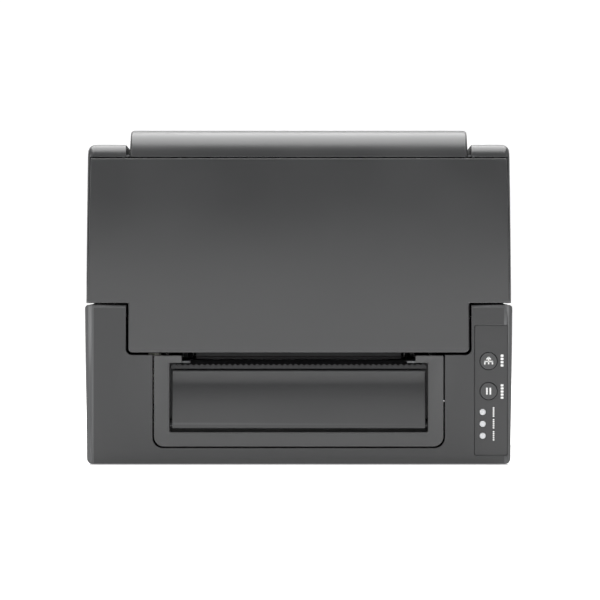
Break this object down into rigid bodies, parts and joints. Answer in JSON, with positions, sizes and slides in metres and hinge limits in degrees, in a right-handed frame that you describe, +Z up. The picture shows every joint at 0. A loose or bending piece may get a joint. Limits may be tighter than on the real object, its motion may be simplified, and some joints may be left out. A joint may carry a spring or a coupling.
{
  "type": "thermal label printer",
  "caption": "Desktop thermal-transfer label printer with a lift-up lid, drop-down liner flap, two front buttons, platen drive, print head, ribbon spindles and roll holders.",
  "frame": {"origin": "on the ground, under the middle of the bounding box", "axes": "+Z up, +Y towards the back, +X towards the right-hand side seen from the front, so the label exit faces -Y"},
  "size_m": [0.232, 0.286, 0.182],
  "materials": {
    "casing_plastic": "dark grey moulded ABS, fine satin grain",
    "inner_plastic": "near-black moulded plastic",
    "panel_film": "dark grey printed polyester film, semi-gloss",
    "led_lens": "pale grey translucent light pipe, unlit",
    "rubber": "matt black rubber",
    "steel": "ground bright steel",
    "sheet_metal": "zinc-plated pressed sheet",
    "gear_nylon": "natural nylon",
    "circuit_board": "green solder mask",
    "black_metal": "black coated metal, satin"
  },
  "bodies": {
    "base": {"bottom_case": "casing_plastic", "foot_front_left": "rubber", "foot_front_right": "rubber", "foot_rear_left": "rubber", "foot_rear_right": "rubber", "front_fascia": "casing_plastic", "control_overlay": "panel_film", "led_ready": "led_lens", "led_error": "led_lens", "led_ribbon": "led_lens", "panel_board": "circuit_board", "front_bezel": "casing_plastic", "tear_bar": "black_metal", "print_chassis": "black_metal", "platen_bearing_left": "gear_nylon", "platen_bearing_right": "gear_nylon", "stepper_motor": "black_metal", "label_path_plate": "sheet_metal", "label_sensor": "inner_plastic", "media_bay": "inner_plastic", "main_board": "circuit_board", "dc_inlet": "inner_plastic", "usb_port": "steel", "lan_port": "steel", "serial_port": "steel", "power_switch_frame": "inner_plastic", "hinge_bracket_left": "inner_plastic", "hinge_bracket_right": "inner_plastic", "latch_catch_left": "gear_nylon", "latch_catch_right": "gear_nylon"},
    "lid": {"lid_shell": "casing_plastic", "lid_front_panel": "casing_plastic", "hinge_pin_left": "steel", "hinge_pin_right": "steel", "ribbon_frame": "sheet_metal", "head_pivot_shaft": "steel"},
    "liner_flap": {"liner_flap": "casing_plastic"},
    "feed_button": {"feed_button": "panel_film"},
    "pause_button": {"pause_button": "panel_film"},
    "platen": {"platen_roller": "rubber", "platen_shaft": "steel", "platen_gear": "gear_nylon"},
    "drive_idler": {"drive_idler_gear": "gear_nylon"},
    "motor_rotor": {"motor_pinion": "steel"},
    "ribbon_idler": {"ribbon_idler_gear": "gear_nylon"},
    "ribbon_rewind": {"ribbon_rewind_spindle": "inner_plastic", "ribbon_rewind_gear": "gear_nylon"},
    "ribbon_supply": {"ribbon_supply_spindle": "inner_plastic"},
    "print_head": {"print_head": "black_metal", "print_head_bracket": "sheet_metal", "head_spring_left": "steel", "head_spring_right": "steel"},
    "holder_left": {"media_holder_left": "inner_plastic"},
    "holder_right": {"media_holder_right": "inner_plastic"},
    "holder_pinion": {"media_pinion": "gear_nylon"},
    "guide_left": {"media_guide_left": "inner_plastic"},
    "guide_right": {"media_guide_right": "inner_plastic"},
    "power_rocker": {"power_rocker": "black_metal"}
  },
  "joints": [
    {"name": "lid_hinge", "type": "hinge", "parent": "base", "child": "lid", "pos_m": [0, 0.1348, 0.0868], "axis": [-1, 0, 0], "range_deg": [0, 85]},
    {"name": "flap_hinge", "type": "hinge", "parent": "base", "child": "liner_flap", "pos_m": [0, -0.139, 0.0215], "axis": [1, 0, 0], "range_deg": [0, 75]},
    {"name": "feed_press", "type": "slide", "parent": "base", "child": "feed_button", "axis": [0, 1, 0], "range_m": [0, 0.0008], "stiffness_N_per_m": 600, "springref_m": -0.0008},
    {"name": "pause_press", "type": "slide", "parent": "base", "child": "pause_button", "axis": [0, 1, 0], "range_m": [0, 0.0008], "stiffness_N_per_m": 600, "springref_m": -0.0008},
    {"name": "platen_spin", "type": "hinge", "parent": "base", "child": "platen", "pos_m": [0, -0.121, 0.0488], "axis": [1, 0, 0], "continuous": true},
    {"name": "drive_idler_spin", "type": "hinge", "parent": "base", "child": "drive_idler", "pos_m": [0, -0.08918, 0.05339], "axis": [1, 0, 0], "continuous": true},
    {"name": "motor_spin", "type": "hinge", "parent": "base", "child": "motor_rotor", "pos_m": [0, -0.075, 0.0285], "axis": [1, 0, 0], "continuous": true},
    {"name": "ribbon_idler_spin", "type": "hinge", "parent": "lid", "child": "ribbon_idler", "pos_m": [0, -0.09123, 0.09249], "axis": [1, 0, 0], "continuous": true},
    {"name": "ribbon_rewind_spin", "type": "hinge", "parent": "lid", "child": "ribbon_rewind", "pos_m": [0, -0.08816, 0.12751], "axis": [1, 0, 0], "continuous": true},
    {"name": "ribbon_supply_spin", "type": "hinge", "parent": "lid", "child": "ribbon_supply", "pos_m": [0, -0.02416, 0.12251], "axis": [1, 0, 0], "continuous": true},
    {"name": "head_pivot", "type": "hinge", "parent": "lid", "child": "print_head", "pos_m": [0, -0.104, 0.072], "axis": [-1, 0, 0], "range_deg": [0, 4], "stiffness_Nm_per_rad": 6, "springref_deg": -4.58},
    {"name": "holder_left_slide", "type": "slide", "parent": "base", "child": "holder_left", "axis": [1, 0, 0], "range_m": [0, 0.044]},
    {"name": "holder_right_slide", "type": "slide", "parent": "base", "child": "holder_right", "axis": [-1, 0, 0], "range_m": [0, 0.044]},
    {"name": "holder_pinion_spin", "type": "hinge", "parent": "base", "child": "holder_pinion", "pos_m": [0, 0.058, 0.01], "axis": [0, 0, 1], "range_deg": [0, 421]},
    {"name": "guide_left_slide", "type": "slide", "parent": "base", "child": "guide_left", "axis": [1, 0, 0], "range_m": [0, 0.044]},
    {"name": "guide_right_slide", "type": "slide", "parent": "base", "child": "guide_right", "axis": [-1, 0, 0], "range_m": [0, 0.044]},
    {"name": "power_rock", "type": "hinge", "parent": "base", "child": "power_rocker", "pos_m": [-0.088, 0.1367, 0.027], "axis": [1, 0, 0], "range_deg": [0, 12]}
  ],
  "couplings": [
    {"joint": "drive_idler_spin", "follows": "platen_spin", "ratio": -0.52381},
    {"joint": "motor_spin", "follows": "platen_spin", "ratio": 1.4667},
    {"joint": "ribbon_idler_spin", "follows": "platen_spin", "ratio": 0.61111},
    {"joint": "ribbon_rewind_spin", "follows": "platen_spin", "ratio": -0.64706},
    {"joint": "holder_right_slide", "follows": "holder_left_slide", "ratio": 1},
    {"joint": "holder_pinion_spin", "follows": "holder_left_slide", "rad_per_m": 166.67},
    {"joint": "guide_right_slide", "follows": "guide_left_slide", "ratio": 1}
  ]
}
